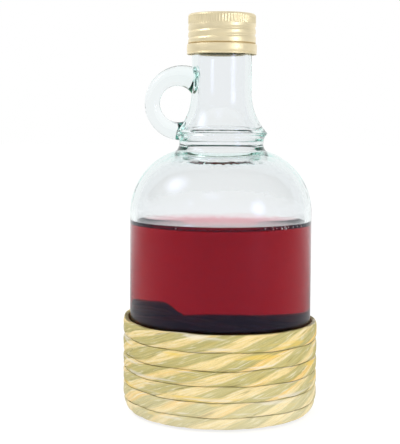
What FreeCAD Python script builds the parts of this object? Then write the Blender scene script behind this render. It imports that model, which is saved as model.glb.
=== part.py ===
import FreeCAD, Part
import math
import os

from FreeCAD import Vector

# Liquor bottle with a glass finger ring, a rolled aluminium cap and a coiled husk cord round its foot.
# Millimetres. The origin is the middle of the standing ring, +Z is up and the finger ring is on the -X side.
# Driving dimensions come first. Everything else is worked out from them.

# Glass body
body_radius = 42.45
wall = 2.85
body_height = 94.0
heel_radius = 9.0
inner_heel_radius = 9.0
base_thickness = 5.0
punt_rise = 3.5
bearing_width = 3.0

# Shoulder, the waist above it and the collar bead between waist and neck
shoulder_rise = 28.6
waist_radius = 19.6
waist_foot_flare = 1.2
waist_rounding = 0.8
waist_narrow_height = 2.9
waist_height = 7.1
collar_proud = 1.8
collar_fall = 0.4
collar_height = 1.6
throat_rounding = 3.0

# Neck and bore
flare_rise = 18.2
neck_radius = 13.9
bore_radius = 11.0
neck_length = 17.3

# Finish of the mouth, hidden by the cap
finish_step = 0.7
lip_rounding = 0.9
lock_bead_proud = 1.0
lock_bead_height = 2.4
lock_bead_chamfer = 0.6
lock_bead_undercut = 0.4

# Finger ring, one piece with the neck
finger_gap = 14.85
ring_radius = 12.85
ring_foot_rise = 0.1
ring_side_radius = 3.5
ring_top_radius = 4.75
ring_foot_radius = 4.2
ring_top_angle = 40.0
ring_foot_angle = 300.0
ring_sections = 14

# Rolled cap
cap_height = 18.6
cap_wall = 0.4
cap_corner = 1.3
cap_clearance = 0.2
cap_thread_room = 0.45
cap_tuck = 0.9
skirt_height = 4.5
bead_height = 0.9
bead_proud = 0.35
knurl_count = 72
knurl_depth = 0.22
knurl_top = 1.2
knurl_length = 3.3
knurl_width_share = 0.9
knurl_overcut = 0.2

# Contents
fill_height = 88.0
meniscus_height = 2.2
meniscus_width = 3.0
meniscus_bend = 0.3

# Husk cord wound round the foot
cord_thickness = 2.85
cord_gap = 0.12
cord_stand_off = 0.08
wrap_height = 47.4
wrap_foot_clearance = 0.0
wrap_end_angle = 103.0
turn_shares = (5.4, 7.4, 6.7, 7.2, 8.9, 7.2)
first_turn_share = 2.7
cord_squareness = 2.6
stations_per_turn = 24
section_sides = 10

# How far a cutting tool runs past what it cuts
overcut = 1.0

# Levels along the axis
waist_z = body_height + shoulder_rise
collar_foot_z = waist_z + waist_height
collar_z = collar_foot_z + collar_height
neck_z = collar_z + flare_rise
cap_foot_z = neck_z + neck_length
cap_top_z = cap_foot_z + cap_height
lip_z = cap_top_z - cap_wall
skirt_top_z = cap_foot_z + skirt_height
bead_top_z = skirt_top_z + bead_height
lock_foot_z = cap_foot_z + 2 * cap_wall + cap_clearance
lock_top_z = lock_foot_z + lock_bead_height

# Radii that follow from the glass
inner_radius = body_radius - wall
throat_radius = waist_radius - wall
collar_radius = waist_radius + collar_proud
finish_radius = neck_radius + finish_step
lock_radius = finish_radius + lock_bead_proud
cap_radius = finish_radius + cap_clearance + cap_thread_room + cap_wall
skirt_radius = lock_radius + cap_clearance + cap_wall


def at(radius, height):
    """A point of an outline in the half plane through the axis."""
    return Vector(radius, 0, height)


def arc(start, middle, end):
    return Part.Arc(start, middle, end).toShape()


def lines(*points):
    """Straight edges from each point to the next."""
    return [Part.LineSegment(start, end).toShape() for start, end in zip(points, points[1:])]


def upright_arc(start, end):
    """The arc that leaves start parallel to the axis and passes through end."""
    across = end.x - start.x
    along = end.z - start.z
    radius = (across * across + along * along) / (2 * across)
    centre = at(start.x + radius, start.z)
    halfway = (start - centre).normalize() + (end - centre).normalize()
    return arc(start, centre + halfway.normalize() * abs(radius), end)


def level_arc(crown, rim):
    """The arc that is level at the crown, on the axis, and passes through the rim."""
    fall = crown.z - rim.z
    radius = (rim.x * rim.x + fall * fall) / (2 * fall)
    centre = at(0, crown.z - radius)
    halfway = (crown - centre).normalize() + (rim - centre).normalize()
    return arc(crown, centre + halfway.normalize() * radius, rim)


def corner_arc(start, corner, end):
    """A quarter circle between two points at the same distance from a square corner."""
    centre = start + end - corner
    return arc(start, centre + (corner - centre) * math.sqrt(0.5), end)


def revolve(edges):
    """The solid swept by a closed outline turned once about the axis."""
    face = Part.Face(Part.Wire(edges))
    return face.revolve(Vector(0, 0, 0), Vector(0, 0, 1), 360)


def round_rings(solid, rounding, *corners):
    """Round the circular edges that pass through the given outline points."""
    rings = []
    for edge in solid.Edges:
        if edge.Degenerated or not isinstance(edge.Curve, Part.Circle):
            continue
        ring = at(edge.Curve.Radius, edge.Curve.Center.z)
        if any(ring.isEqual(corner, 0.01) for corner in corners):
            rings.append(edge)
    return solid.makeFillet(rounding, rings)


def bottle_outside():
    """The bottle's outer form as if it were filled in, from the punt to the lip."""
    bearing_radius = body_radius - heel_radius
    punt_rim = at(bearing_radius - bearing_width, 0)
    bearing = at(bearing_radius, 0)
    heel = at(body_radius, heel_radius)
    shoulder = at(body_radius, body_height)
    waist_foot = at(waist_radius + waist_foot_flare, waist_z)
    waist_narrow = at(waist_radius, waist_z + waist_narrow_height)
    collar_foot = at(collar_radius - collar_fall, collar_foot_z)
    collar_crest = at(collar_radius, collar_foot_z + collar_height / 2)
    collar_top = at(collar_radius - collar_fall, collar_z)
    neck_foot = at(neck_radius, neck_z)
    neck_top = at(neck_radius, lock_foot_z - lock_bead_undercut)
    lock_foot = at(lock_radius, lock_foot_z + lock_bead_chamfer)
    lock_top = at(lock_radius, lock_top_z - lock_bead_chamfer)
    finish_foot = at(finish_radius, lock_top_z)
    lip = at(finish_radius, lip_z)
    punt = at(0, punt_rise)
    outline = [
        level_arc(punt, punt_rim),
        *lines(punt_rim, bearing),
        corner_arc(bearing, at(body_radius, 0), heel),
        *lines(heel, shoulder),
        upright_arc(shoulder, waist_foot),
        arc(waist_foot, waist_narrow, collar_foot),
        arc(collar_foot, collar_crest, collar_top),
        upright_arc(neck_foot, collar_top),
        *lines(neck_foot, neck_top, lock_foot, lock_top, finish_foot, lip, at(0, lip_z), punt),
    ]
    outside = round_rings(revolve(outline), lip_rounding, lip)
    return round_rings(outside, waist_rounding, waist_foot)


def bottle_inside(top_z):
    """The space inside the glass, from its floor up to the given height above the neck's foot."""
    crown = at(0, punt_rise + base_thickness)
    floor_rim = at(inner_radius - inner_heel_radius, base_thickness)
    heel = at(inner_radius, base_thickness + inner_heel_radius)
    shoulder = at(inner_radius, body_height)
    throat_foot = at(throat_radius, waist_z - wall)
    throat_top = at(throat_radius, collar_z)
    bore_foot = at(bore_radius, neck_z)
    outline = [
        level_arc(crown, floor_rim),
        corner_arc(floor_rim, at(inner_radius, base_thickness), heel),
        *lines(heel, shoulder),
        upright_arc(shoulder, throat_foot),
        *lines(throat_foot, throat_top),
        upright_arc(bore_foot, throat_top),
        *lines(bore_foot, at(bore_radius, top_z), at(0, top_z), crown),
    ]
    return round_rings(revolve(outline), throat_rounding, throat_foot, throat_top)


def ring_section(angle):
    """A round section of the finger ring. It is thinnest at its outermost point, at 180 degrees."""
    root_radius = ring_top_radius if angle < 180 else ring_foot_radius
    swell = 1 - math.cos(math.radians(angle - 180))
    radius = ring_side_radius + (root_radius - ring_side_radius) * swell
    ring_x = ring_radius - neck_radius - finger_gap - ring_side_radius
    ring_z = collar_z + ring_foot_rise + ring_radius
    turn = math.radians(angle)
    centre = Vector(ring_x + ring_radius * math.cos(turn), 0, ring_z + ring_radius * math.sin(turn))
    heading = Vector(-math.sin(turn), 0, math.cos(turn))
    return Part.Wire(Part.Circle(centre, heading, radius).toShape())


def make_finger_ring():
    sweep = ring_foot_angle - ring_top_angle
    angles = [ring_top_angle + sweep * number / (ring_sections - 1) for number in range(ring_sections)]
    return Part.makeLoft([ring_section(angle) for angle in angles], True, False)


def make_bottle():
    """Glass bottle and finger ring, blown as one piece."""
    blown = bottle_outside().fuse(make_finger_ring())
    return blown.cut(bottle_inside(lip_z + overcut)).removeSplitter()


def wet_radius(height):
    """Inner radius of the glass at a height on the body or the shoulder."""
    if height <= body_height:
        return inner_radius
    across = throat_radius - inner_radius
    along = waist_z - wall - body_height
    sweep_radius = (across * across + along * along) / (-2 * across)
    return inner_radius - sweep_radius + math.sqrt(sweep_radius ** 2 - (height - body_height) ** 2)


def make_liquor():
    """Liquor up to the fill height, with the edge of its surface drawn up the glass."""
    edge_z = fill_height + meniscus_height
    wall_radius = wet_radius(edge_z)
    level = at(wall_radius - meniscus_width, fill_height)
    bend = at(wall_radius - meniscus_width * meniscus_bend, fill_height + meniscus_height * meniscus_bend)
    edge = at(wall_radius, edge_z)
    outside = inner_radius + overcut
    headspace = [
        arc(level, bend, edge),
        *lines(edge, at(outside, edge_z), at(outside, cap_foot_z), at(0, cap_foot_z), at(0, fill_height), level),
    ]
    return bottle_inside(cap_foot_z - overcut).cut(revolve(headspace))


def knurl_notch():
    """One vee-shaped notch of the knurled band, on the +X side of the cap."""
    half_width = math.pi * cap_radius / knurl_count * knurl_width_share / 2
    foot = cap_top_z - knurl_top - knurl_length
    rim = cap_radius + knurl_overcut
    vee = Part.makePolygon([
        Vector(cap_radius - knurl_depth, 0, foot),
        Vector(rim, half_width, foot),
        Vector(rim, -half_width, foot),
        Vector(cap_radius - knurl_depth, 0, foot),
    ])
    return Part.Face(vee).extrude(Vector(0, 0, knurl_length))


def make_cap():
    """Rolled aluminium cap: a thin shell with a knurled rim, a tear bead and a wider tucked skirt."""
    lean = skirt_radius - cap_radius
    corner_z = cap_top_z - cap_corner
    lean_z = skirt_top_z - lean
    roll_z = cap_foot_z + cap_wall
    shell_radius = cap_radius - cap_wall
    inner_skirt_radius = skirt_radius - cap_wall
    tuck_radius = inner_skirt_radius - cap_tuck
    inner_corner = cap_corner - cap_wall
    outer = [
        *lines(at(0, cap_top_z), at(cap_radius - cap_corner, cap_top_z)),
        corner_arc(at(cap_radius - cap_corner, cap_top_z), at(cap_radius, cap_top_z), at(cap_radius, corner_z)),
        *lines(at(cap_radius, corner_z), at(cap_radius, bead_top_z)),
        arc(at(cap_radius, bead_top_z), at(cap_radius + bead_proud, bead_top_z - bead_height / 2),
            at(cap_radius, skirt_top_z)),
        *lines(at(cap_radius, skirt_top_z), at(skirt_radius, lean_z), at(skirt_radius, roll_z)),
        corner_arc(at(skirt_radius, roll_z), at(skirt_radius, cap_foot_z), at(inner_skirt_radius, cap_foot_z)),
    ]
    inner = [
        *lines(at(inner_skirt_radius, cap_foot_z), at(tuck_radius, cap_foot_z), at(tuck_radius, roll_z),
               at(inner_skirt_radius, roll_z), at(inner_skirt_radius, lean_z - cap_wall / 2),
               at(shell_radius, skirt_top_z - cap_wall / 2), at(shell_radius, lip_z - inner_corner)),
        corner_arc(at(shell_radius, lip_z - inner_corner), at(shell_radius, lip_z),
                   at(shell_radius - inner_corner, lip_z)),
        *lines(at(shell_radius - inner_corner, lip_z), at(0, lip_z), at(0, cap_top_z)),
    ]
    notch = knurl_notch()
    notches = []
    for number in range(knurl_count):
        notches.append(notch.rotated(Vector(0, 0, 0), Vector(0, 0, 1), 360 * number / knurl_count))
    return revolve(outer + inner).cut(Part.makeCompound(notches))


def foot_outline(distance, stand_off):
    """The point this far up the glass from the bearing ring, and this far out from the glass."""
    heel_length = heel_radius * math.pi / 2
    reach = heel_radius + stand_off
    if distance > heel_length:
        return body_radius + stand_off, heel_radius + distance - heel_length
    lean = distance / heel_radius
    return body_radius - heel_radius + reach * math.sin(lean), heel_radius - reach * math.cos(lean)


def cord_clearance():
    """How far the cord's corners stand off the glass, so that its straight facets just clear it."""
    return cord_stand_off + body_radius * (1 - math.cos(math.pi / stations_per_turn))


def wrap_start():
    """How far up the outline the cord's lowest edge lies, so that it clears the ground."""
    reach = heel_radius + cord_clearance() + cord_thickness
    return heel_radius * math.acos((heel_radius - wrap_foot_clearance) / reach)


def cord_top_edge(turns):
    """How far up the outline the cord's upper edge lies after this many turns."""
    heel_length = heel_radius * math.pi / 2
    start = wrap_start()
    climb = wrap_height - heel_radius + heel_length - start
    unit = climb / (first_turn_share + sum(turn_shares))
    whole = min(int(turns), len(turn_shares) - 1)
    passed = sum(turn_shares[:whole]) + turn_shares[whole] * (turns - whole)
    return start + unit * (first_turn_share + passed)


def cord_section(turns):
    """The cord's flattened section after this many turns, as a closed polygon."""
    high = cord_top_edge(turns)
    low = cord_top_edge(turns - 1) + cord_gap if turns >= 1 else wrap_start()
    middle = (low + high) / 2
    half_width = (high - low) / 2
    half_thickness = cord_thickness / 2
    azimuth = math.radians(wrap_end_angle - 360 * turns)
    power = 2 / cord_squareness
    points = []
    for side in range(section_sides + 1):
        turn = 2 * math.pi * side / section_sides
        across = math.copysign(abs(math.cos(turn)) ** power, math.cos(turn))
        out = math.copysign(abs(math.sin(turn)) ** power, math.sin(turn))
        radius, height = foot_outline(middle + half_width * across,
                                      cord_clearance() + half_thickness * (1 + out))
        points.append(Vector(radius * math.cos(azimuth), radius * math.sin(azimuth), height))
    return Part.makePolygon(points)


def make_wrap():
    """The husk cord, one length wound round the foot in touching turns that climb clockwise."""
    stations = stations_per_turn * len(turn_shares)
    sections = [cord_section(number / stations_per_turn) for number in range(stations + 1)]
    return Part.makeLoft(sections, True, True)


nodes = {
    "glass_bottle": make_bottle(),
    "liquor": make_liquor(),
    "rolled_cap": make_cap(),
    "husk_wrap": make_wrap(),
}

os.makedirs("parts", exist_ok=True)
for name, shape in nodes.items():
    box = shape.BoundBox
    print(f"{name}: {len(shape.Solids)} solid, valid {shape.isValid()}, {shape.Volume:.1f} mm3,",
          f"x {box.XMin:.2f} to {box.XMax:.2f}, y {box.YMin:.2f} to {box.YMax:.2f},",
          f"z {box.ZMin:.2f} to {box.ZMax:.2f}")
    shape.Solids[0].exportStep("parts/" + name + ".step")
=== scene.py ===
import bmesh
import bpy
import math
from bpy.props import FloatProperty, FloatVectorProperty, IntProperty, PointerProperty
from mathutils import Matrix, Vector, noise


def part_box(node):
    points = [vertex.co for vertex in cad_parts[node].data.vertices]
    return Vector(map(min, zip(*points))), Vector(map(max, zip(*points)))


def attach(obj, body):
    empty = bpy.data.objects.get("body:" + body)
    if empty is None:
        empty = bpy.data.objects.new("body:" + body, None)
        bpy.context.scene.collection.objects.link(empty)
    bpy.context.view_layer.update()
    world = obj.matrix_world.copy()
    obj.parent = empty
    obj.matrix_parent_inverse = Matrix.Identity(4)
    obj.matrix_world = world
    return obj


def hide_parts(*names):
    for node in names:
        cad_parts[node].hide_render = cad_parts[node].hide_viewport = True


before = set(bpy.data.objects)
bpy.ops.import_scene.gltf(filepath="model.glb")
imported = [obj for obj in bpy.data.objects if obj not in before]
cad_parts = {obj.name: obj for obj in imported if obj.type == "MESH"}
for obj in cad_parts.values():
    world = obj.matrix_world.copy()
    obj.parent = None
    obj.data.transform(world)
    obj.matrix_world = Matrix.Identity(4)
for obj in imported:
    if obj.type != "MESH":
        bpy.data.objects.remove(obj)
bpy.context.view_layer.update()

bl_info = {
    "name": "Liquor Bottle with Finger Ring",
    "version": (1, 0, 0),
    "blender": (4, 5, 0),
    "location": "View3D > Sidebar > Bottle",
    "description": "Builds a glass liquor bottle with its liquor, rolled cap and husk cord",
    "category": "Add Mesh",
}

GLASS_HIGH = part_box("glass_bottle")[1]
LIQUOR_LOW, LIQUOR_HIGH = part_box("liquor")
CAP_LOW, CAP_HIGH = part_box("rolled_cap")
WRAP_LOW, WRAP_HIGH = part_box("husk_wrap")
MM = 0.001
CREASE_ANGLE = math.radians(38)      # edges sharper than this stay crisp
WELD_DISTANCE = 0.002 * MM           # points of a spun outline closer than this become one


# ---------------------------------------------------------------- sizes and colours

class LiquorSizes(bpy.types.PropertyGroup):
    """Sizes of the liquor."""
    radius: FloatProperty(name="Radius", description="Inner radius of the glass body",
                          default=LIQUOR_HIGH.x, unit="LENGTH")
    wall_bite: FloatProperty(name="Wall Bite", description="How far the liquor reaches into the glass",
                             default=0.12 * MM, unit="LENGTH")
    meniscus_height: FloatProperty(name="Meniscus Height", default=2.9 * MM, unit="LENGTH",
                                   description="How far the liquor climbs the glass")
    heel_radius: FloatProperty(name="Inner Heel", default=9.0 * MM, unit="LENGTH",
                               description="Rounding where the inner wall meets the floor")
    floor_rise: FloatProperty(name="Floor Rise", description="How far the glass floor is pushed up",
                              default=3.5 * MM, unit="LENGTH")


class CapSizes(bpy.types.PropertyGroup):
    """Sizes of the rolled cap."""
    radius: FloatProperty(name="Radius", description="Radius of the cap above its skirt",
                          default=15.65 * MM, unit="LENGTH")
    wall: FloatProperty(name="Wall", description="Thickness of the rolled sheet",
                        default=0.4 * MM, unit="LENGTH")
    corner: FloatProperty(name="Corner", description="Rounding of the top edge",
                          default=1.3 * MM, unit="LENGTH")
    skirt_height: FloatProperty(name="Skirt Height", description="Height of the tamper skirt",
                                default=4.5 * MM, unit="LENGTH")
    tear_gap: FloatProperty(name="Tear Gap", description="Height of the tear bead above the skirt",
                            default=0.9 * MM, unit="LENGTH")
    knurl_count: IntProperty(name="Knurls", description="Number of knurls round the rim", default=72)
    knurl_depth: FloatProperty(name="Knurl Depth", description="Depth of the knurls",
                               default=0.24 * MM, unit="LENGTH")
    thread_pitch: FloatProperty(name="Thread Pitch", description="Rise of the rolled thread in one turn",
                                default=3.2 * MM, unit="LENGTH")
    thread_depth: FloatProperty(name="Thread Depth", description="Depth of the rolled thread",
                                default=0.42 * MM, unit="LENGTH")


class CordSizes(bpy.types.PropertyGroup):
    """Sizes of the husk cord."""
    thickness: FloatProperty(name="Thickness", description="Thickness of the flattened cord",
                             default=2.85 * MM, unit="LENGTH")
    stand_off: FloatProperty(name="Stand-off", description="Gap between the cord and the glass",
                             default=0.3 * MM, unit="LENGTH")
    heel_radius: FloatProperty(name="Heel Radius", description="Rounding of the glass at its foot",
                               default=9.0 * MM, unit="LENGTH")
    ply_count: FloatProperty(name="Twists", description="Turns of the twist in one turn round the bottle",
                             default=10.72)
    ply_slant: FloatProperty(name="Slant", default=2.4,
                             description="How far a ply runs along while it rises by its height")
    ply_relief: FloatProperty(name="Ply Relief", description="Depth of the furrow between two plies",
                              default=0.5 * MM, unit="LENGTH")
    crease_relief: FloatProperty(name="Crease Relief", description="Depth of the creases in a ply",
                                 default=0.34 * MM, unit="LENGTH")


class Finish(bpy.types.PropertyGroup):
    """Colours of the pieces."""
    glass_tint: FloatVectorProperty(name="Glass Tint", description="Colour that thick glass turns to",
                                    subtype="COLOR", size=3, default=(0.30, 0.84, 0.74))
    liquor_red: FloatVectorProperty(name="Liquor", description="Light that passes best through the liquor",
                                    subtype="COLOR", size=3, default=(0.845, 0.0, 0.12))
    cap_gold: FloatVectorProperty(name="Cap", description="Lacquer of the cap",
                                  subtype="COLOR", size=3, default=(1.0, 0.87, 0.57))
    husk_cream: FloatVectorProperty(name="Cream Husk", description="Pale ply of the cord",
                                    subtype="COLOR", size=3, default=(0.865, 0.68, 0.31))
    husk_sage: FloatVectorProperty(name="Sage Husk", description="Green ply of the cord",
                                   subtype="COLOR", size=3, default=(0.54, 0.475, 0.185))


# ---------------------------------------------------------------- shared helpers

def new_piece(name, bm, material, slot, *nodes):
    """Turn a bmesh into a finished piece that stands for CAD nodes."""
    mesh = bpy.data.meshes.new(name)
    bm.to_mesh(mesh)
    bm.free()
    mesh.materials.append(material)
    mesh.shade_smooth()
    mesh.set_sharp_from_angle(angle=CREASE_ANGLE)
    piece = bpy.data.objects.new(name, mesh)
    bpy.context.scene.collection.objects.link(piece)
    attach(piece, "root")
    if nodes:
        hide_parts(*nodes)
    return piece


def smooth_step(low, high, value):
    """How far the value has come from low to high, from 0 to 1 with soft ends."""
    share = min(max((value - low) / (high - low), 0.0), 1.0)
    return share * share * (3 - 2 * share)


def noise_at(*place):
    """Smooth noise between -1 and 1 that is the same each time."""
    return noise.noise(Vector(place))


def quarter_turn(steps, first=0):
    """The sine and cosine at each step of a quarter turn, from the given step on."""
    turns = [math.pi / 2 * step / steps for step in range(first, steps + 1)]
    return [(math.sin(turn), math.cos(turn)) for turn in turns]


def spin_outline(outline, steps):
    """A closed bmesh made by spinning a half outline of radii and heights once about the upright axis."""
    bm = bmesh.new()
    points = [bm.verts.new((radius, 0, height)) for radius, height in outline]
    edges = [bm.edges.new(pair) for pair in zip(points, points[1:])]
    bmesh.ops.spin(bm, geom=points + edges, cent=(0, 0, 0), axis=(0, 0, 1), angle=2 * math.pi,
                   steps=steps, use_merge=True)
    bmesh.ops.remove_doubles(bm, verts=bm.verts, dist=WELD_DISTANCE)
    bmesh.ops.recalc_face_normals(bm, faces=bm.faces)
    return bm


# ---------------------------------------------------------------- node helpers

def new_material(name):
    """A node material with its node tree and its Principled BSDF."""
    material = bpy.data.materials.new(name)
    material.use_nodes = True
    return material, material.node_tree, material.node_tree.nodes["Principled BSDF"]


def shaded(colour, *shares):
    """A colour with each channel scaled by its own share."""
    return tuple(channel * share for channel, share in zip(colour, shares))


def feed(tree, socket, value):
    """Link a socket to the given one, or write a number or colour on it."""
    if isinstance(value, bpy.types.NodeSocket):
        tree.links.new(value, socket)
    elif isinstance(value, tuple):
        socket.default_value = (*value, 1)
    else:
        socket.default_value = value


def set_inputs(shader, **values):
    """Write plain values on a shader's inputs, named with underscores for spaces."""
    for name, value in values.items():
        shader.inputs[name.replace("_", " ")].default_value = value


def object_place(tree):
    """The socket with the place on the piece."""
    return tree.nodes.new("ShaderNodeTexCoord").outputs["Object"]


def uv_place(tree, layer):
    """The socket of a named UV map."""
    node = tree.nodes.new("ShaderNodeUVMap")
    node.uv_map = layer
    return node.outputs["UV"]


def axes_of(tree, vector):
    """The X, Y and Z sockets of a vector socket."""
    node = tree.nodes.new("ShaderNodeSeparateXYZ")
    tree.links.new(vector, node.inputs["Vector"])
    return node.outputs["X"], node.outputs["Y"], node.outputs["Z"]


def math_node(tree, operation, *values):
    """A Math node fed with numbers or sockets. Returns its output socket."""
    node = tree.nodes.new("ShaderNodeMath")
    node.operation = operation
    for socket, value in zip(node.inputs, values):
        feed(tree, socket, value)
    return node.outputs["Value"]


def ramp_node(tree, value, low, high, to_low=0.0, to_high=1.0):
    """A smooth step from to_low to to_high while value goes from low to high."""
    node = tree.nodes.new("ShaderNodeMapRange")
    node.interpolation_type = "SMOOTHSTEP"
    tree.links.new(value, node.inputs["Value"])
    set_inputs(node, From_Min=low, From_Max=high, To_Min=to_low, To_Max=to_high)
    return node.outputs["Result"]


def mix_node(tree, factor, first, second):
    """Mix two colours, each a socket or a written colour. Returns the mixed colour's socket."""
    node = tree.nodes.new("ShaderNodeMix")
    node.data_type = "RGBA"
    tree.links.new(factor, node.inputs["Factor"])
    feed(tree, node.inputs[6], first)
    feed(tree, node.inputs[7], second)
    return node.outputs[2]


def blend_values(tree, factor, first, second):
    """Mix two numbers or value sockets by a factor socket. Returns the mixed value's socket."""
    node = tree.nodes.new("ShaderNodeMix")
    tree.links.new(factor, node.inputs["Factor"])
    feed(tree, node.inputs[2], first)
    feed(tree, node.inputs[3], second)
    return node.outputs[0]


def bump_node(tree, height, strength, distance):
    """A Bump node on a height socket. Returns its normal socket."""
    node = tree.nodes.new("ShaderNodeBump")
    set_inputs(node, Strength=strength, Distance=distance)
    tree.links.new(height, node.inputs["Height"])
    return node.outputs["Normal"]


def fill_volume(tree, colour, density):
    """Let a clear material absorb light along its way, so that the given colour is left."""
    absorb = tree.nodes.new("ShaderNodeVolumeAbsorption")
    set_inputs(absorb, Color=(*colour, 1), Density=density)
    tree.links.new(absorb.outputs["Volume"], tree.nodes["Material Output"].inputs["Volume"])


def grain_group():
    """The shared node group for noise that is stretched by a different amount along each axis."""
    group = bpy.data.node_groups.get("stretched_grain")
    if group:
        return group
    group = bpy.data.node_groups.new("stretched_grain", "ShaderNodeTree")
    group.interface.new_socket("Vector", in_out="INPUT", socket_type="NodeSocketVector")
    group.interface.new_socket("Stretch", in_out="INPUT", socket_type="NodeSocketVector")
    group.interface.new_socket("Detail", in_out="INPUT", socket_type="NodeSocketFloat")
    group.interface.new_socket("Grain", in_out="OUTPUT", socket_type="NodeSocketFloat")
    entry = group.nodes.new("NodeGroupInput")
    leave = group.nodes.new("NodeGroupOutput")
    mapping = group.nodes.new("ShaderNodeMapping")
    texture = group.nodes.new("ShaderNodeTexNoise")
    texture.inputs["Scale"].default_value = 1.0
    group.links.new(entry.outputs["Vector"], mapping.inputs["Vector"])
    group.links.new(entry.outputs["Stretch"], mapping.inputs["Scale"])
    group.links.new(mapping.outputs["Vector"], texture.inputs["Vector"])
    group.links.new(entry.outputs["Detail"], texture.inputs["Detail"])
    group.links.new(texture.outputs["Fac"], leave.inputs["Grain"])
    return group


def stretched_noise(tree, vector, stretch, detail):
    """Place the shared grain in a material with its own stretch. Returns its output socket."""
    node = tree.nodes.new("ShaderNodeGroup")
    node.node_tree = grain_group()
    set_inputs(node, Stretch=stretch, Detail=detail)
    tree.links.new(vector, node.inputs["Vector"])
    return node.outputs["Grain"]


# ---------------------------------------------------------------- glass

GLASS_GREY = (0.938, 0.934, 0.950, 1)       # what clear glass lets through at each surface
GLASS_MIRROR = (0.23, 0.25, 0.40, 1)        # tint of what it mirrors when looked at square on
GLASS_DENSITY = 14.0                        # how strongly it absorbs light in a metre
GLASS_WAVES = (55, 55, 30)                  # waves in a metre, across and up the bottle


def glass_material(tint):
    """Faintly green container glass with the slight waves of blown glass."""
    material, tree, shader = new_material("clear_glass")
    set_inputs(shader, Base_Color=GLASS_GREY, Roughness=0.0, IOR=1.52, Specular_Tint=GLASS_MIRROR,
               Transmission_Weight=1.0)
    waves = stretched_noise(tree, object_place(tree), GLASS_WAVES, 1.0)
    tree.links.new(bump_node(tree, waves, 0.5, 0.1 * MM), shader.inputs["Normal"])
    fill_volume(tree, tint, GLASS_DENSITY)
    return material


class BOTTLE_OT_glass(bpy.types.Operator):
    """Give the glass bottle and its finger ring their clear glass"""
    bl_idname = "bottle.glass"
    bl_label = "Glass Bottle"

    def execute(self, context):
        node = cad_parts["glass_bottle"]
        material = glass_material(context.scene.bottle_finish.glass_tint)
        for slot in node.material_slots:
            slot.material = material
        return {"FINISHED"}


# ---------------------------------------------------------------- liquor

LIQUOR_DENSITY = 112.0       # how strongly it absorbs light in a metre
LIQUOR_SPIN_STEPS = 128
FLOOR_STEPS = 8              # steps from the middle of the floor to its rim
HEEL_STEPS = 8               # steps in the rounding between floor and wall
WALL_RINGS = (0.4, 0.7)      # rings up the wall, as shares of the surface's height
EDGE_STEPS = 18              # steps in the climbing edge of the surface
EDGE_REACH = 4.5             # how far in that edge reaches, in meniscus heights
EDGE_FALL = 0.9              # how far in it has fallen to about a third, in meniscus heights
SURFACE_RINGS = (0.6, 0.3)   # rings on the level surface, as shares of its radius


def liquor_material(colour):
    """Clear deep red liquor."""
    material, tree, shader = new_material("red_liquor")
    set_inputs(shader, Base_Color=(1, 1, 1, 1), Roughness=0.0, IOR=1.35, Specular_Tint=(0, 0, 0, 1),
               Transmission_Weight=1.0)
    fill_volume(tree, colour, LIQUOR_DENSITY)
    return material


def liquor_outline(sizes):
    """Half outline of the liquor, from the middle of the floor to the middle of its level surface."""
    wet = sizes.radius + sizes.wall_bite
    floor = LIQUOR_LOW.z - sizes.wall_bite
    flat = wet - sizes.heel_radius
    top = LIQUOR_HIGH.z - sizes.meniscus_height
    outline = []
    for step in range(FLOOR_STEPS + 1):
        share = step / FLOOR_STEPS
        outline.append((flat * share, floor + sizes.floor_rise * (1 - share * share)))
    for sine, cosine in quarter_turn(HEEL_STEPS, 1):
        outline.append((flat + sizes.heel_radius * sine, floor + sizes.heel_radius * (1 - cosine)))
    outline += [(wet, top * share) for share in WALL_RINGS]
    outline.append((wet, LIQUOR_HIGH.z))
    for step in range(EDGE_STEPS + 1):
        share = step / EDGE_STEPS
        away = share * share * EDGE_REACH * sizes.meniscus_height
        climb = sizes.meniscus_height * math.exp(-away / (EDGE_FALL * sizes.meniscus_height))
        outline.append((sizes.radius - away, top + climb))
    outline += [(sizes.radius * share, top) for share in SURFACE_RINGS]
    outline.append((0.0, top))
    return outline


class BOTTLE_OT_liquor(bpy.types.Operator):
    """Fill the bottle with liquor that reaches just into the glass"""
    bl_idname = "bottle.liquor"
    bl_label = "Liquor"

    def execute(self, context):
        bm = spin_outline(liquor_outline(context.scene.liquor_sizes), LIQUOR_SPIN_STEPS)
        material = liquor_material(context.scene.bottle_finish.liquor_red)
        new_piece("liquor_fill", bm, material, "red_liquor", "liquor")
        return {"FINISHED"}


BUBBLES = (
    # azimuth in degrees, drop below the wet edge and radius in millimetres
    (-61.0, 0.9, 0.28), (-55.0, 1.2, 0.34), (-52.5, 1.0, 0.24), (-48.0, 1.3, 0.44), (-44.5, 1.4, 0.62),
    (-42.4, 0.9, 0.28), (-37.5, 1.1, 0.34), (-33.0, 0.9, 0.26), (-28.0, 1.1, 0.34), (-119.0, 1.1, 0.26),
)
BUBBLE_CLEARANCE = 0.02      # millimetres between a bubble and the glass
# pale rose and white that paint the bubbles' highlights
BUBBLE_ROSE_GLINT = (0.78, 0.62, 0.66)
BUBBLE_WHITE_GLINT = (0.95, 0.92, 0.93)
BUBBLE_SWIRLS = (900, 900, 900)


def bubble_material():
    """The pale wet film of an air bubble, whose pale colour is a painted highlight."""
    material, tree, shader = new_material("bubble_painted_glint")
    swirl = ramp_node(tree, stretched_noise(tree, object_place(tree), BUBBLE_SWIRLS, 1.0), 0.35, 0.65)
    tree.links.new(mix_node(tree, swirl, BUBBLE_ROSE_GLINT, BUBBLE_WHITE_GLINT), shader.inputs["Base Color"])
    shader.inputs["Roughness"].default_value = 0.15
    return material


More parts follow.
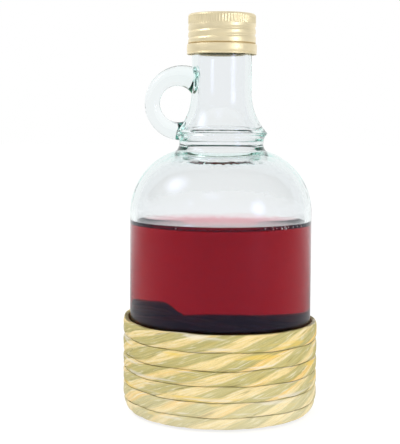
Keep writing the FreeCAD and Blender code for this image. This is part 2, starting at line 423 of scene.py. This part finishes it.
class BOTTLE_OT_bubbles(bpy.types.Operator):
    """Leave a few air bubbles where the liquor meets the glass"""
    bl_idname = "bottle.bubbles"
    bl_label = "Bubbles"

    def execute(self, context):
        sizes = context.scene.liquor_sizes
        bm = bmesh.new()
        for angle, drop, radius in BUBBLES:
            reach = sizes.radius - (radius + BUBBLE_CLEARANCE) * MM
            height = LIQUOR_HIGH.z - drop * MM
            azimuth = math.radians(angle)
            spot = Vector((reach * math.cos(azimuth), reach * math.sin(azimuth), height))
            bmesh.ops.create_icosphere(bm, subdivisions=2, radius=radius * MM,
                                       matrix=Matrix.Translation(spot))
        new_piece("surface_bubbles", bm, bubble_material(), "red_liquor")
        return {"FINISHED"}


# ---------------------------------------------------------------- cap

CORNER_STEPS = 8             # steps in the rounding of the top edge
SIDE_RINGS = 46              # rings down the side, close enough for the knurls and the thread
HEM_STEPS = 6                # steps round the rolled foot of the skirt
STEPS_PER_KNURL = 6
# The sheet's bends, each a step out and a step up in millimetres
TEAR_BEAD = ((0.0, 0.0), (0.12, -0.15), (-0.05, -0.32), (-0.45, -0.42), (-0.45, -0.62))
SKIRT_SHOULDER = ((-0.35, -0.70), (-0.10, -0.85), (0.0, -1.15))
SKIRT_TUCK = ((0.0, 2.2), (-0.03, 1.2), (-0.22, 0.95), (-0.05, 0.75))
INNER_TEAR = ((-0.45, -0.3),)
INNER_THREAD_RISE = 1.0      # how far over the tear bead the inside narrows for the thread
# Heights of the pressed bands, in millimetres from the cap's top or from its skirt
KNURL_DROP = 1.0
KNURL_HEIGHT = 3.6
KNURL_SOFTNESS = ((0.3, 0.3), (0.3, 0.5))         # how far its lower and upper edge reach out and in
THREAD_DROP = 5.2
THREAD_RISE = 2.6
THREAD_SOFTNESS = ((0.8, 0.2), (0.8, 0.2))
PRESSED_RISE = 0.6           # below this nothing is pressed in
FIRST_THREAD_DROP = 7.3
THREAD_HALF_WIDTH = 0.55
THREAD_START = 0.25          # where round the cap the thread starts, as a share of a turn


def bends(radius, height, steps):
    """The points of a row of bends, each measured from this radius and height."""
    return [(radius + out * MM, height + up * MM) for out, up in steps]


def cap_outline(sizes):
    """Half outline of the cap's sheet, from the middle of its top, down the outside and up the inside."""
    top, foot, skirt = CAP_HIGH.z, CAP_LOW.z, CAP_HIGH.x
    radius, wall, corner = sizes.radius, sizes.wall, sizes.corner
    tear = foot + sizes.skirt_height + sizes.tear_gap
    side = top - corner - tear
    hem_radius = wall / 2
    inner = radius - wall
    outline = [(0.0, top), (radius * 0.5, top), (radius - 2 * corner, top)]
    for sine, cosine in quarter_turn(CORNER_STEPS):
        outline.append((radius - corner * (1 - sine), top - corner * (1 - cosine)))
    for ring in range(1, SIDE_RINGS):
        outline.append((radius, top - corner - side * ring / SIDE_RINGS))
    outline += bends(radius, tear, TEAR_BEAD)
    outline += bends(skirt, tear, SKIRT_SHOULDER)
    outline += bends(skirt, foot, SKIRT_TUCK)
    for step in range(HEM_STEPS + 1):
        turn = math.pi * step / HEM_STEPS
        outline.append((skirt - hem_radius * (1 - math.cos(turn)), foot + wall * (1 - math.sin(turn))))
    outline.append((skirt - wall, foot + sizes.skirt_height))
    outline += bends(inner, tear, INNER_TEAR)
    outline += [
        (inner - sizes.thread_depth, tear + INNER_THREAD_RISE * MM),
        (inner - sizes.thread_depth, top - corner),
        (inner - corner, top - wall),
        (0.0, top - wall),
    ]
    return outline


def band(low, high, softness, value):
    """1 inside a band of heights and 0 outside, with soft edges that reach this far out and in."""
    (low_out, low_in), (high_out, high_in) = softness
    return (smooth_step(low - low_out * MM, low + low_in * MM, value)
            * smooth_step(high + high_out * MM, high - high_in * MM, value))


def press_depth(azimuth, height, sizes):
    """How deep the knurls and the rolled thread press the cap's side in."""
    knurl_top = CAP_HIGH.z - KNURL_DROP * MM
    knurled = band(knurl_top - KNURL_HEIGHT * MM, knurl_top, KNURL_SOFTNESS, height)
    depth = sizes.knurl_depth * knurled * (0.5 - 0.5 * math.cos(azimuth * sizes.knurl_count))
    climb = sizes.thread_pitch * (azimuth / (2 * math.pi) + THREAD_START)
    away = (height - (CAP_HIGH.z - FIRST_THREAD_DROP * MM) - climb) % sizes.thread_pitch
    away = min(away, sizes.thread_pitch - away)
    threaded = band(CAP_LOW.z + sizes.skirt_height + THREAD_RISE * MM, CAP_HIGH.z - THREAD_DROP * MM,
                    THREAD_SOFTNESS, height)
    return depth + sizes.thread_depth * threaded * math.exp(-(away / (THREAD_HALF_WIDTH * MM)) ** 2)


def shape_cap(bm, sizes):
    """Press the knurls and the rolled thread into the cap's outer side."""
    foot = CAP_LOW.z + sizes.skirt_height + PRESSED_RISE * MM
    for vert in bm.verts:
        radius = math.hypot(vert.co.x, vert.co.y)
        if radius < sizes.radius - 0.5 * sizes.wall or vert.co.z < foot:
            continue
        azimuth = math.atan2(vert.co.y, vert.co.x)
        scale = (radius - press_depth(azimuth, vert.co.z, sizes)) / radius
        vert.co.x *= scale
        vert.co.y *= scale


ROLLING_LINES = (40, 40, 6000)       # how fine the grain is, across and up the cap
LACQUER_BLOTCHES = (130, 130, 260)
DEEP_SHARES = (0.93, 0.93, 0.93)     # what is left of the gold's red, green and blue in its darker blotches
TEAR_SHADE_SHARES = (0.76, 0.70, 0.58)     # the same for the painted shade in the groove of the tear line
TEAR_SHADE_DROP = 0.35                     # millimetres from the tear bead down to that painted shade


def cap_material(gold, tear_height):
    """Satin gold lacquer on rolled aluminium, with fine rolling lines and painted shade along the tear
    line.
    """
    material, tree, shader = new_material("champagne_aluminium")
    place = object_place(tree)
    lines = stretched_noise(tree, place, ROLLING_LINES, 2.0)
    blotches = stretched_noise(tree, place, LACQUER_BLOTCHES, 2.0)
    pale = tuple(0.5 + 0.5 * channel for channel in gold)
    deep = shaded(gold, *DEEP_SHARES)
    tear_shade = shaded(gold, *TEAR_SHADE_SHARES)
    tone = mix_node(tree, ramp_node(tree, blotches, 0.35, 0.7), deep, tuple(gold))
    tone = mix_node(tree, ramp_node(tree, lines, 0.62, 0.8, 0.0, 0.5), tone, pale)
    # painted shade: the gold turns darker and warmer along the groove of the tear line
    tear = CAP_LOW.z + tear_height - TEAR_SHADE_DROP * MM
    away = math_node(tree, "ABSOLUTE", math_node(tree, "SUBTRACT", axes_of(tree, place)[2], tear))
    tone = mix_node(tree, ramp_node(tree, away, 0.15 * MM, 0.5 * MM, 0.9, 0.0), tone, tear_shade)
    tree.links.new(tone, shader.inputs["Base Color"])
    tree.links.new(ramp_node(tree, blotches, 0.3, 0.8, 0.38, 0.5), shader.inputs["Roughness"])
    tree.links.new(bump_node(tree, lines, 0.12, 0.05 * MM), shader.inputs["Normal"])
    set_inputs(shader, Metallic=0.6, Coat_Weight=0.3, Coat_Roughness=0.3)
    return material


class BOTTLE_OT_cap(bpy.types.Operator):
    """Roll the aluminium cap over the mouth"""
    bl_idname = "bottle.cap"
    bl_label = "Rolled Cap"

    def execute(self, context):
        sizes = context.scene.cap_sizes
        bm = spin_outline(cap_outline(sizes), sizes.knurl_count * STEPS_PER_KNURL)
        shape_cap(bm, sizes)
        material = cap_material(context.scene.bottle_finish.cap_gold, sizes.skirt_height + sizes.tear_gap)
        new_piece("cap_shell", bm, material, "champagne_aluminium", "rolled_cap")
        return {"FINISHED"}


# ---------------------------------------------------------------- husk cord

TURN_SHARES = (5.4, 7.4, 6.7, 7.2, 8.9, 7.2)      # heights of the turns, from the lowest up
START_SHARE = 2.7            # height of the cord where it starts, in the same shares
WRAP_END_ANGLE = math.radians(103.0)              # azimuth at which the cord starts and ends
CORD_STATIONS = 2400         # steps along the cord
CORD_SIDES = 26              # steps round it
CORD_WELD = 0.003 * MM
CIRCLE = 2 * math.pi * GLASS_HIGH.x               # one turn round the glass

# How the edges between the rows stray, in millimetres
ROW_TILT_RIGHT = 0.95
ROW_TILT_BACK = 0.5
ROW_LIFT = 0.1
ROW_WAVE = 0.8
ROW_WAVE_LENGTH = 19
ROW_WAVE_PLACE = (7.0, 2.0)
ROW_STRAY_FROM = (-0.2, 0.8)                      # turns over which this sets in

# The cord's section and its ends
SQUARENESS = 3.4             # 2 makes an oval section, and more makes it squarer
OUTER_SHARE = 0.7            # share of the steps round the cord that lie on its outer side
SECTION_FILL = 0.97          # how far its faces reach out, as a share of its half thickness
START_TAPER = (-1.0, 5.0)    # millimetres along over which the cord reaches its full width
END_TAPER = (-0.5, 4.5)
END_THICKNESS = 0.35         # what is left of its thickness at both ends
START_WIDTH = 0.5            # what is left of its width at the start
END_WIDTH = 0.1

# The twist
CREAM_SHARE = 0.45           # share of a twist that the cream ply takes
TWIST_START = 0.14
PLY_SLIPS = (0.0, -0.14, 0.44, -0.13, 0.07, -0.29, 0.05, 0.05)      # in twists, one for each turn
SLIP_SHIFT = 0.53            # where in a turn those slips hold
WANDER = 0.15                # in twists
WANDER_LENGTHS = (60, 9)     # in millimetres, along and up
EDGE_SLANT = 0.30            # how much flatter a ply lies at the cord's edges
PINCH_SLANT = 0.45           # how much steeper it lies where the cord is pinched
PINCH_TURNS = (3.5, 3.9)     # the turns from which the cord is pinched
PINCH_PART = (0.09, 0.13, 0.17, 0.22)             # where in a turn the pinch sets in and ends

# Furrows and creases
FURROW_WIDTH = 0.035         # in twists
FURROW_PART = 0.7            # how much of the ply's relief is furrow, the rest being its round crown
FOLD_LENGTH = 34             # in millimetres along the fibres
FOLDS_IN_TWIST = 5.2
FOLD_PLACE = 3.0
FOLD_SHARPNESS = 9
CREASED_LENGTH = 50          # the same for the stretches that are creased
CREASED_IN_TWIST = 1.1
CREASED_PLACE = 9.0
CREASED_FROM = (-0.1, 0.4)
PINCH_CREASES = 1.5          # how much deeper creases are at the pinch


def foot_outline(distance, stand_off, heel_radius):
    """Radius and height of a point this far up the glass from its standing ring and this far off it."""
    heel_length = heel_radius * math.pi / 2
    reach = heel_radius + stand_off
    if distance > heel_length:
        return GLASS_HIGH.x + stand_off, heel_radius + distance - heel_length
    lean = distance / heel_radius
    return GLASS_HIGH.x - heel_radius + reach * math.sin(lean), heel_radius - reach * math.cos(lean)


def cord_start(sizes):
    """How far up the outline the cord's lowest edge lies."""
    reach = sizes.heel_radius + sizes.stand_off + sizes.thickness
    return sizes.heel_radius * math.acos((sizes.heel_radius - WRAP_LOW.z) / reach)


def cord_top_edge(turns, sizes):
    """How far up the outline the cord's upper edge lies after this many turns."""
    start = cord_start(sizes)
    climb = WRAP_HIGH.z - sizes.heel_radius + sizes.heel_radius * math.pi / 2 - start
    unit = climb / (START_SHARE + sum(TURN_SHARES))
    whole = min(int(turns), len(TURN_SHARES) - 1)
    passed = sum(TURN_SHARES[:whole]) + TURN_SHARES[whole] * (turns - whole)
    return start + unit * (START_SHARE + passed)


def row_edge(turns, azimuth, sizes):
    """How far up the outline the uneven edge between this turn and the next one lies."""
    if turns < 0:
        return cord_start(sizes)
    tilt = ROW_TILT_RIGHT * math.cos(azimuth) + ROW_TILT_BACK * math.sin(azimuth) + ROW_LIFT
    wave = ROW_WAVE * noise_at(turns * CIRCLE / (ROW_WAVE_LENGTH * MM), *ROW_WAVE_PLACE)
    return cord_top_edge(turns, sizes) + (tilt + wave) * MM * smooth_step(*ROW_STRAY_FROM, turns)


def ply_slip(turns):
    """How far the twist has slipped after this many turns, in twists."""
    place = turns + SLIP_SHIFT
    whole = min(int(place), len(PLY_SLIPS) - 2)
    share = smooth_step(0.0, 1.0, place - whole)
    return PLY_SLIPS[whole] * (1 - share) + PLY_SLIPS[whole + 1] * share


def section_place(side):
    """How far up its width and how far out a step round the cord lies, each from -1 to 1."""
    if side < OUTER_SHARE:
        turn = math.pi * side / OUTER_SHARE
    else:
        turn = math.pi * (1 + (side - OUTER_SHARE) / (1 - OUTER_SHARE))
    power = 2 / SQUARENESS
    across = math.copysign(abs(math.cos(turn)) ** power, math.cos(turn))
    out = math.copysign(abs(math.sin(turn)) ** power, math.sin(turn))
    return across, out


def pinch_at(turns):
    """How far the cord is squeezed where the upper turns were pulled tight."""
    part = turns % 1.0
    grip = smooth_step(*PINCH_PART[:2], part) * (1 - smooth_step(*PINCH_PART[2:], part))
    return grip * smooth_step(*PINCH_TURNS, turns)


def crown_fall(share):
    """How far this share of a twist lies from the middle of its ply, from 0 to 1 at the ply's borders."""
    low, high = (CREAM_SHARE, 1.0) if share > CREAM_SHARE else (0.0, CREAM_SHARE)
    return abs(share - (low + high) / 2) / ((high - low) / 2)


class CordPoint:
    """A point on the cord's skin: its place, its twist and its distance along the husk fibres."""

    def __init__(self, run, side, sizes):
        turns = run * len(TURN_SHARES)
        azimuth = WRAP_END_ANGLE - 2 * math.pi * turns
        across, out = section_place(side)
        high = row_edge(turns, azimuth, sizes)
        low = row_edge(turns - 1, azimuth, sizes)
        rise = (high - low) / 2 * across
        along = azimuth * GLASS_HIGH.x
        wander = noise_at(along / (WANDER_LENGTHS[0] * MM), rise / (WANDER_LENGTHS[1] * MM), 0.0)
        slant = sizes.ply_slant * (1 + EDGE_SLANT * across * across) * (1 - PINCH_SLANT * pinch_at(turns))
        self.turns = turns
        self.across = across
        self.twist = (sizes.ply_count * (along - slant * rise) / CIRCLE
                      + TWIST_START + ply_slip(turns) + WANDER * wander)
        self.fibre = along + rise / sizes.ply_slant
        start = smooth_step(START_TAPER[0] * MM, START_TAPER[1] * MM, turns * CIRCLE)
        end = smooth_step(END_TAPER[0] * MM, END_TAPER[1] * MM, (len(TURN_SHARES) - turns) * CIRCLE)
        half_thickness = sizes.thickness / 2 * (END_THICKNESS + (1 - END_THICKNESS) * min(start, end))
        stand_off = (sizes.stand_off + half_thickness * (1 + out * SECTION_FILL)
                     - self.relief(sizes) * max(out, 0.0))
        place = (low + high) / 2 + rise * (START_WIDTH + (1 - START_WIDTH) * start)
        place = low + (place - low) * (END_WIDTH + (1 - END_WIDTH) * end)
        radius, height = foot_outline(place, stand_off, sizes.heel_radius)
        self.co = Vector((radius * math.cos(azimuth), radius * math.sin(azimuth), height))

    def relief(self, sizes):
        """How deep the furrows and creases press the skin in."""
        share = self.twist % 1.0
        seam = min(share, 1 - share, abs(share - CREAM_SHARE))
        furrow = math.exp(-(seam / FURROW_WIDTH) ** 2)
        fold = noise_at(self.fibre / (FOLD_LENGTH * MM), self.twist * FOLDS_IN_TWIST, FOLD_PLACE)
        dry = noise_at(self.fibre / (CREASED_LENGTH * MM), self.twist * CREASED_IN_TWIST, CREASED_PLACE)
        crease = max(0.0, 1 - abs(fold) * FOLD_SHARPNESS) * smooth_step(*CREASED_FROM, dry)
        crease *= 1 + PINCH_CREASES * pinch_at(self.turns)
        ply = FURROW_PART * furrow + (1 - FURROW_PART) * crown_fall(share) ** 2
        return sizes.ply_relief * ply + sizes.crease_relief * crease


def cord_mesh(sizes):
    """A long grid bent into the wound, twisted cord and closed along its inner side and at its ends."""
    bm = bmesh.new()
    bmesh.ops.create_grid(bm, x_segments=CORD_STATIONS, y_segments=CORD_SIDES, size=0.5)
    fibres = bm.loops.layers.uv.new("fibres")
    rows = bm.loops.layers.uv.new("rows")
    for vert in bm.verts:
        point = CordPoint(vert.co.x + 0.5, vert.co.y + 0.5, sizes)
        for loop in vert.link_loops:
            loop[fibres].uv = (point.fibre, point.twist)
            loop[rows].uv = (point.turns * CIRCLE, point.across)
        vert.co = point.co
    bmesh.ops.remove_doubles(bm, verts=bm.verts, dist=CORD_WELD)
    bmesh.ops.holes_fill(bm, edges=[edge for edge in bm.edges if edge.is_boundary], sides=0)
    bmesh.ops.recalc_face_normals(bm, faces=bm.faces)
    return bm


# ---------------------------------------------------------------- husk

# Patterns along the fibres and across the plies: their stretch and detail
FIBRE_GRAINS = {
    "fray": ((90, 14, 1), 2.0),          # the plies' frayed borders
    "sway": ((34, 0.9, 1), 1.0),         # the slow sway of those borders
    "fibres": ((70, 95, 1), 3.0),
    "streaks": ((26, 17, 1), 2.0),
    "patches": ((22, 1.6, 1), 1.0),
    "speckle": ((700, 120, 1), 2.0),
    "mottle": ((110, 9, 1), 3.0),
    "splits": ((15, 2.6, 1), 1.0),       # thin lines of painted shade where the husk is split or folded
    "crease_shade_spots": ((24, 1.1, 1), 1.0),      # where those lines show
}
# Patterns along the rows and across them
ROW_GRAINS = {
    "blush": ((30, 0.9, 1), 2.0),        # amber stains
    "sheen_spots": ((32, 1.2, 1), 2.0),        # pale satin near the cord's edges
    "gap_shade_grain": ((55, 1.0, 1), 1.0),         # painted sheen near the cord's edges, where the husk is also smoother
}
PALE_HUSK = (0.90, 0.83, 0.63)
AMBER_HUSK = (0.86, 0.60, 0.10)
# The next four colours are painted light: a painted sheen, painted bounce light from the floor, painted
# shade in the creases and painted shade between the rows.
PAINTED_SHEEN = (0.84, 0.79, 0.70)
FLOOR_BOUNCE_PAINT = (0.95, 0.89, 0.68)
CREASE_SHADE = (0.24, 0.19, 0.06)
GAP_SHADE = (0.20, 0.16, 0.05)
FLOOR_BOUNCE_TURNS = (0.6, 3.6)              # painted bounce light from the floor makes the foot paler, fading out up to here


def ply_colour(tree, grains, share, cream, sage):
    """The streaked cream and sage plies, told apart by the share of the twist."""
    is_cream = math_node(tree, "MULTIPLY", ramp_node(tree, share, 0.0, 0.10),
                         ramp_node(tree, share, 0.42, 0.54, 1.0, 0.0))
    warm = shaded(cream, 1.02, 0.84, 0.48)
    creamy = mix_node(tree, ramp_node(tree, grains["patches"], 0.50, 0.70, 0.0, 0.9), cream, warm)
    creamy = mix_node(tree, ramp_node(tree, grains["streaks"], 0.50, 0.75, 0.0, 0.75), creamy, PALE_HUSK)
    olive = shaded(sage, 0.66, 0.68, 0.60)
    sagey = mix_node(tree, ramp_node(tree, grains["streaks"], 0.25, 0.62, 0.8, 0.0), sage, olive)
    sagey = mix_node(tree, ramp_node(tree, grains["fibres"], 0.50, 0.72, 0.0, 0.7), sagey, cream)
    return mix_node(tree, is_cream, sagey, creamy)


def stain(tree, grains, colour, sage):
    """Stains, speckles and darker fibres over both plies."""
    olive = shaded(sage, 0.66, 0.68, 0.60)
    moss = shaded(sage, 1.0, 0.9, 0.6)
    stains = (
        # grain, where it starts and ends, how strong it is there, colour
        ("fibres", 0.26, 0.46, 0.45, 0.0, olive),
        ("mottle", 0.36, 0.50, 0.45, 0.0, moss),
        ("mottle", 0.54, 0.70, 0.0, 0.5, PALE_HUSK),
        ("speckle", 0.30, 0.48, 0.30, 0.0, olive),
        ("blush", 0.60, 0.72, 0.0, 0.7, AMBER_HUSK),
    )
    for name, low, high, at_low, at_high, tone in stains:
        colour = mix_node(tree, ramp_node(tree, grains[name], low, high, at_low, at_high), colour, tone)
    return colour


def crease_shade_mask(tree, grains, share, turns):
    """Where painted shade darkens the husk in thin lines: dry splits, the pinch, and the seam where two
    plies meet.
    """
    line = math_node(tree, "ABSOLUTE", math_node(tree, "SUBTRACT", grains["splits"], 0.5))
    part = math_node(tree, "FRACT", turns)
    pinched = math_node(tree, "MULTIPLY", ramp_node(tree, part, *PINCH_PART[:2]),
                        ramp_node(tree, part, *PINCH_PART[2:], 1.0, 0.0))
    pinched = math_node(tree, "MULTIPLY", ramp_node(tree, turns, *PINCH_TURNS), pinched)
    dry = ramp_node(tree, grains["crease_shade_spots"], 0.54, 0.62)
    creased = math_node(tree, "MULTIPLY", ramp_node(tree, line, 0.003, 0.013, 1.0, 0.0),
                        math_node(tree, "MAXIMUM", dry, pinched))
    seam = math_node(tree, "MULTIPLY", ramp_node(tree, share, 0.94, 0.985),
                     ramp_node(tree, grains["mottle"], 0.42, 0.54, 1.0, 0.0))
    return math_node(tree, "MAXIMUM", creased, math_node(tree, "MULTIPLY", seam, 0.55))


def husk_material(cream, sage):
    """Two plies of dry husk, cream and sage, with fibres that run along each ply, and with painted shade,
    painted sheen and painted bounce light from the floor.
    """
    material, tree, shader = new_material("husk_cord")
    fibre_place, row_place = uv_place(tree, "fibres"), uv_place(tree, "rows")
    twist = axes_of(tree, fibre_place)[1]
    run, across, _ = axes_of(tree, row_place)
    grains = {name: stretched_noise(tree, fibre_place, *grain) for name, grain in FIBRE_GRAINS.items()}
    grains.update({name: stretched_noise(tree, row_place, *grain) for name, grain in ROW_GRAINS.items()})
    turns = math_node(tree, "DIVIDE", run, CIRCLE)
    edge = math_node(tree, "ABSOLUTE", across)
    sway = math_node(tree, "MULTIPLY", math_node(tree, "SUBTRACT", grains["sway"], 0.5), 0.5)
    shift = math_node(tree, "MULTIPLY_ADD", math_node(tree, "SUBTRACT", grains["fray"], 0.5), 0.13, sway)
    share = math_node(tree, "FRACT", math_node(tree, "ADD", twist, shift))
    colour = stain(tree, grains, ply_colour(tree, grains, share, cream, sage), sage)
    # painted shade: the husk turns dark brown in its splits, at the pinch and in the seam between two plies
    creased = math_node(tree, "MULTIPLY", crease_shade_mask(tree, grains, share, turns), 0.6)
    colour = mix_node(tree, creased, colour, CREASE_SHADE)
    # painted sheen: a pale colour near the cord's edges stands in for highlights, and the same spots get a
    # lower roughness
    sheen_and_smooth = math_node(tree, "MULTIPLY", ramp_node(tree, edge, 0.25, 0.7),
                      ramp_node(tree, grains["sheen_spots"], 0.57, 0.64))
    colour = mix_node(tree, math_node(tree, "MULTIPLY", sheen_and_smooth, 0.55), colour, PAINTED_SHEEN)
    # painted bounce light from the floor: the lower turns are made paler
    colour = mix_node(tree, ramp_node(tree, turns, *FLOOR_BOUNCE_TURNS, 0.30, 0.0), colour, FLOOR_BOUNCE_PAINT)
    # painted shade: the cord's edges turn dark brown in the gap between two rows
    gap_shade = math_node(tree, "MULTIPLY", ramp_node(tree, edge, 0.90, 1.0),
                    ramp_node(tree, grains["gap_shade_grain"], 0.38, 0.60, 0.05, 0.95))
    tree.links.new(mix_node(tree, gap_shade, colour, GAP_SHADE), shader.inputs["Base Color"])
    tree.links.new(ramp_node(tree, sheen_and_smooth, 0.0, 1.0, 0.62, 0.40), shader.inputs["Roughness"])
    height = math_node(tree, "ADD", grains["fibres"], math_node(tree, "MULTIPLY", grains["streaks"], 1.4))
    tree.links.new(bump_node(tree, height, 0.6, 0.25 * MM), shader.inputs["Normal"])
    return material


class BOTTLE_OT_cord(bpy.types.Operator):
    """Wind the twisted husk cord round the foot"""
    bl_idname = "bottle.cord"
    bl_label = "Husk Cord"

    def execute(self, context):
        finish = context.scene.bottle_finish
        bm = cord_mesh(context.scene.cord_sizes)
        material = husk_material(tuple(finish.husk_cream), tuple(finish.husk_sage))
        new_piece("wound_cord", bm, material, "husk_cord", "husk_wrap")
        return {"FINISHED"}


# ---------------------------------------------------------------- stage

# Strengths for mirrored rays, from front to back: where they start and end, and how bright it is there
ROOM_MIRRORED = (0.2, 0.95, 0.38, 1.0)
FLOOR_MIRRORED = (0.1, 0.9, 0.20, 0.78)
# Strengths as light on the pieces, and as seen by the camera and through the glass
ROOM_LIGHT = 0.82
ROOM_SEEN = 1.0
FLOOR_LIGHT = 0.88
FLOOR_SEEN = 0.80
FLOOR_GREY = (0.24, 0.24, 0.24, 1)
FLOOR_HALF = 6.0             # half the floor's width
LAMPS = (
    # name, place, width and height, power, and whether the pieces mirror it
    ("key_lamp", (-0.72, -0.14, 0.80), (0.70, 0.70), 3.4, True),
    ("side_lamp", (0.66, -0.60, 0.28), (0.42, 0.60), 2.4, True),
    ("front_lamp", (-0.25, -1.1, 1.0), (1.0, 0.7), 3.0, False),
)
LAMP_AIM = (0, 0, 0.1)
LAMP_PEAK = 3.3              # how much brighter than its mean a lamp is in its middle
CAMERA_PLACE = (0, -0.5237, 0.1357)
CAMERA_TURN = (84.9, -0.32, 1.09)                 # in degrees
CAMERA_LENS = 90.8
LIGHT_BOUNCES = 32           # the edges of the glass are dark with fewer
GLOSSY_BOUNCES = 24


def strength_for_rays(tree, depth, mirrored, light, seen):
    """A strength for mirrored rays that changes with the depth, one for light and one for what is seen."""
    path = tree.nodes.new("ShaderNodeLightPath")
    looks = math_node(tree, "MAXIMUM", path.outputs["Is Camera Ray"], path.outputs["Is Transmission Ray"])
    lit = blend_values(tree, path.outputs["Is Diffuse Ray"], ramp_node(tree, depth, *mirrored), light)
    return blend_values(tree, looks, lit, seen)


def white_world():
    """A room that is seen white, and is dimmer where the pieces mirror it or are lit by it."""
    world = bpy.data.worlds.new("white_room")
    bpy.context.scene.world = world
    world.use_nodes = True
    tree = world.node_tree
    background = tree.nodes["Background"]
    background.inputs["Color"].default_value = (1, 1, 1, 1)
    depth = axes_of(tree, tree.nodes.new("ShaderNodeTexCoord").outputs["Generated"])[1]
    strength = strength_for_rays(tree, depth, ROOM_MIRRORED, ROOM_LIGHT, ROOM_SEEN)
    tree.links.new(strength, background.inputs["Strength"])


def floor_material():
    """A white floor that keeps the shadow of what stands on it."""
    material, tree, shader = new_material("floor_white")
    set_inputs(shader, Base_Color=FLOOR_GREY, Roughness=0.9, Emission_Color=(1, 1, 1, 1))
    depth = axes_of(tree, object_place(tree))[1]
    strength = strength_for_rays(tree, depth, FLOOR_MIRRORED, FLOOR_LIGHT, FLOOR_SEEN)
    tree.links.new(strength, shader.inputs["Emission Strength"])
    return material


def lay_floor():
    """A wide flat floor under the bottle."""
    bm = bmesh.new()
    bmesh.ops.create_grid(bm, x_segments=1, y_segments=1, size=FLOOR_HALF)
    mesh = bpy.data.meshes.new("floor")
    bm.to_mesh(mesh)
    bm.free()
    mesh.materials.append(floor_material())
    floor = bpy.data.objects.new("floor", mesh)
    bpy.context.scene.collection.objects.link(floor)


def add_lamp(name, place, size, power, mirrored):
    """A rectangular lamp turned towards the bottle, which fades softly from its middle to its edges."""
    lamp = bpy.data.lights.new(name, "AREA")
    lamp.shape = "RECTANGLE"
    lamp.size, lamp.size_y = size
    lamp.energy = power
    lamp.use_nodes = True
    tree = lamp.node_tree
    away = tree.nodes.new("ShaderNodeVectorMath")
    away.operation = "DISTANCE"
    away.inputs[1].default_value = (0.5, 0.5, 0)
    tree.links.new(tree.nodes.new("ShaderNodeNewGeometry").outputs["Parametric"], away.inputs[0])
    fade = ramp_node(tree, away.outputs["Value"], 0.0, 0.5, LAMP_PEAK, 0.0)
    tree.links.new(fade, tree.nodes["Emission"].inputs["Strength"])
    holder = bpy.data.objects.new(name, lamp)
    bpy.context.scene.collection.objects.link(holder)
    holder.location = place
    holder.rotation_euler = (Vector(LAMP_AIM) - Vector(place)).to_track_quat("-Z", "Y").to_euler()
    holder.visible_glossy = mirrored


def add_camera():
    """The camera in front of the bottle, a little above it."""
    lens = bpy.data.cameras.new("camera")
    lens.lens = CAMERA_LENS
    lens.clip_start = 0.01
    camera = bpy.data.objects.new("camera", lens)
    camera.location = CAMERA_PLACE
    camera.rotation_euler = [math.radians(turn) for turn in CAMERA_TURN]
    bpy.context.scene.collection.objects.link(camera)
    bpy.context.scene.camera = camera


class BOTTLE_OT_stage(bpy.types.Operator):
    """Set the floor, the room, the lamps and the camera"""
    bl_idname = "bottle.stage"
    bl_label = "Stage"

    def execute(self, context):
        scene = context.scene
        scene.view_settings.view_transform = "Standard"
        scene.cycles.max_bounces = LIGHT_BOUNCES
        scene.cycles.transmission_bounces = LIGHT_BOUNCES
        scene.cycles.glossy_bounces = GLOSSY_BOUNCES
        white_world()
        lay_floor()
        for lamp in LAMPS:
            add_lamp(*lamp)
        add_camera()
        return {"FINISHED"}


# ---------------------------------------------------------------- panel and registration

OPERATORS = (BOTTLE_OT_glass, BOTTLE_OT_liquor, BOTTLE_OT_bubbles, BOTTLE_OT_cap, BOTTLE_OT_cord,
             BOTTLE_OT_stage)


class BOTTLE_PT_panel(bpy.types.Panel):
    """Buttons that build the bottle"""
    bl_label = "Liquor Bottle"
    bl_idname = "BOTTLE_PT_panel"
    bl_space_type = "VIEW_3D"
    bl_region_type = "UI"
    bl_category = "Bottle"

    def draw(self, context):
        for operator in OPERATORS:
            self.layout.operator(operator.bl_idname)


GROUPS = {
    "liquor_sizes": LiquorSizes,
    "cap_sizes": CapSizes,
    "cord_sizes": CordSizes,
    "bottle_finish": Finish,
}
CLASSES = (*GROUPS.values(), *OPERATORS, BOTTLE_PT_panel)


def register():
    """Register the classes and hang the sizes and colours on the scene."""
    for item in CLASSES:
        bpy.utils.register_class(item)
    for name, group in GROUPS.items():
        setattr(bpy.types.Scene, name, PointerProperty(type=group))


def unregister():
    """Take the sizes, colours and classes away again."""
    for name in GROUPS:
        delattr(bpy.types.Scene, name)
    for item in reversed(CLASSES):
        bpy.utils.unregister_class(item)


def main():
    """Register the sizes and colours on the scene, then build every piece and the stage."""
    register()
    bpy.ops.bottle.glass()
    bpy.ops.bottle.liquor()
    bpy.ops.bottle.bubbles()
    bpy.ops.bottle.cap()
    bpy.ops.bottle.cord()
    bpy.ops.bottle.stage()


if __name__ == "__main__":
    main()
